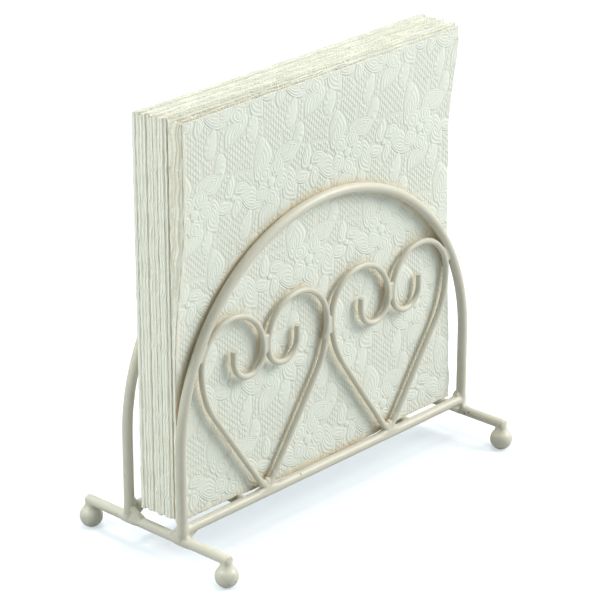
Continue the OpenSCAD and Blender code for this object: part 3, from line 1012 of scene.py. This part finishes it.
def foldNapkin(s, papers, number, yMiddle, corner, layers, pitch, loose):
    rng = np.random.default_rng(s["seed"] + number)
    linesU, linesV = sheetLines(s, s["cellAlong"]), sheetLines(s, s["cellUp"])
    cutsU, cutsV = len(linesU) - 1, len(linesV) - 1
    bpy.ops.mesh.primitive_grid_add(x_subdivisions=cutsU, y_subdivisions=cutsV, size=s["flat"])
    napkin = bpy.context.object
    napkin.name = "napkin_%02d" % number
    mesh = napkin.data
    co = np.empty(len(mesh.vertices) * 3)
    mesh.vertices.foreach_get("co", co)
    co = co.reshape(-1, 3) / s["flat"] + 0.5
    uFlat = linesU[np.rint(co[:, 0] * cutsU).astype(int)]
    vFlat = linesV[np.rint(co[:, 1] * cutsV).astype(int)]
    loops = np.empty(len(mesh.loops), dtype=int)
    mesh.loops.foreach_get("vertex_index", loops)
    half = s["flat"] / 2
    flatUv = np.stack([(uFlat[loops] + half) / s["flat"], (vFlat[loops] + half) / s["flat"]], 1)
    mesh.uv_layers.active.data.foreach_set("uv", flatUv.ravel())

    # the folds lie a little out of the middle, so the leaves end unevenly
    slipU, slipV = rng.uniform(-s["foldSlip"], s["foldSlip"], 2)
    tiltU, tiltV = rng.uniform(-s["foldTilt"], s["foldTilt"], 2)
    u = uFlat + slipU + tiltU * vFlat
    v = vFlat + slipV + tiltV * uFlat
    outer, inner, reach, square = (s[key] for key in ("outerHalf", "innerHalf", "foldReach", "foldSquare"))
    # the bottom fold, a half round
    r1 = (outer - inner) / 2
    across = np.abs(v)
    turn = np.minimum(across / r1, math.pi / 2)
    z = np.where(across < r1 * math.pi / 2, r1 * (1 - np.cos(turn)), r1 + across - r1 * math.pi / 2)
    gap = (outer + inner) / 2 - np.sign(v) * r1 * np.sin(turn)
    # the left fold, squarer
    along = np.abs(u)
    arc = math.pi / 2 * np.sqrt((reach * reach + gap * gap) / 2)
    bend = np.minimum(along / arc, 1) * math.pi / 2
    rounded = reach * (1 - np.maximum(np.cos(bend), 0) ** square)
    x = (outer - gap) * s["foldNest"] + np.where(along < arc, rounded, reach + along - arc)
    y = np.sign(u) * gap * np.sin(bend) ** square

    # the leaves part and the folds puff up where there is room
    room = pitch / 2
    atFold = np.exp(-x / s["foldFill"])
    slotFront = s["liftSlot"] if number == 1 else s["foldSlot"]
    slotBack = s["liftSlot"] if number == 0 else s["foldSlot"]
    slot = np.where(y < 0, slotFront, slotBack)
    wide = s["leafShare"] * room * (1 - atFold) + (room - s["paper"] / 2 - slot) * atFold
    y = np.where(y * loose >= 0, y * wide / outer, y)  # but not on the outside of the stack

    # ripples: creased ribs down the fold, uneven leaf edges on top and right
    edgeX = np.clip(1 - x / s["foldBand"], 0, 1)
    edgeZ = np.clip(1 - z / s["foldBand"], 0, 1)
    topEdge = np.clip(1 - (half - np.abs(v)) / s["edgeBand"], 0, 1)
    rightEdge = np.clip(1 - (half - np.abs(u)) / s["edgeBand"], 0, 1)
    leaf = (v > 0) * 2 + (u > 0)
    crease = rng.uniform(-s["dentOff"], s["dentOff"]) + ripple(rng, z, 1, *s["dentSway"])
    dent = s["dent"] + ripple(rng, z, 1, *s["dentDeep"])
    x = x + edgeX * dent * groove(y, crease, s["dentWide"])
    if loose > 0:
        opened = freeOfArch(s, corner[0], z + corner[1])
        for rib in s["ribs"]:
            x = x + edgeX * opened * s["ribDeep"] * groove(y, rib, s["ribWide"])
    x = x + ripple(rng, z, edgeX, *s["foldOut"])
    y = y + ripple(rng, z, edgeX, *s["foldAcross"])
    z = z + ripple(rng, x, edgeZ, *s["bottomUp"])
    for k in range(4):
        on = leaf == k
        y = y + ripple(rng, x, on * topEdge, *s["topAcross"])
        z = z + ripple(rng, x, on * topEdge, *s["topRipple"])
        y = y + ripple(rng, z, on * rightEdge, *s["rightAcross"])
        x = x + ripple(rng, z, on * rightEdge, *s["rightRipple"])

    low = 1 - eased(z, *s["sagUp"])
    x, y, z = x + corner[0], y + yMiddle, z + corner[1]
    z = z - s["sag"] * low * np.clip(1 - (x / s["restX"]) ** 2, 0, 1)
    x, y, z = settle(s, x, y, z, *layers)
    mesh.vertices.foreach_set("co", np.stack([x, y, z], 1).ravel())
    mesh.update()

    for paper in papers:
        mesh.materials.append(paper)
    thick = napkin.modifiers.new("paper", "SOLIDIFY")
    thick.thickness = s["paper"]
    thick.offset = 0
    thick.material_offset_rim = 1
    bpy.ops.object.modifier_apply(modifier=thick.name)
    bpy.ops.object.shade_smooth_by_angle(angle=s["smoothAngle"])
    return napkin


def buildNapkins(s, face, stack, edge):
    frontLow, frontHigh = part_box("front_napkin")
    stackLow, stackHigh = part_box("napkin_stack")
    layers = (frontLow[1], frontHigh[1], stackHigh[1])
    count = s["stacked"]
    halfThick = (frontHigh[1] - frontLow[1]) / 2
    pitch = (stackHigh[1] - stackLow[1] - 2 * halfThick) / (count - 1)
    floorX = frontLow[0]
    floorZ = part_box("left_rest")[1][2] + s["restGap"]
    for i in range(count + 1):
        middle = frontLow[1] + halfThick if i == 0 else stackLow[1] + halfThick + (i - 1) * pitch
        turn = i * s["slipTurn"]
        corner = (floorX + s["slipX"] * math.sin(turn), floorZ + s["slipZ"] * (1 - math.cos(turn)))
        papers = (face if i == 0 else stack, edge)
        loose = 1 if i == 0 else -1 if i == count else 0  # the first and the last have a free side
        napkin = foldNapkin(s, papers, i, middle, corner, layers, pitch, loose)
        body = "front_napkin" if i == 0 else "napkin_stack"
        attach(napkin, body)
        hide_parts(body)
    print("napkins folded:", count + 1)


emboss = embossGroup(tissueSet)
faceTissue = tissueMaterial("faceTissue", tissueSet, emboss, *tissueSet["faceShares"])
stackTissue = tissueMaterial("stackTissue", tissueSet, emboss, *tissueSet["stackShares"])
buildNapkins(napkinSet, faceTissue, stackTissue, edgeMaterial("tissueEdge", tissueSet))
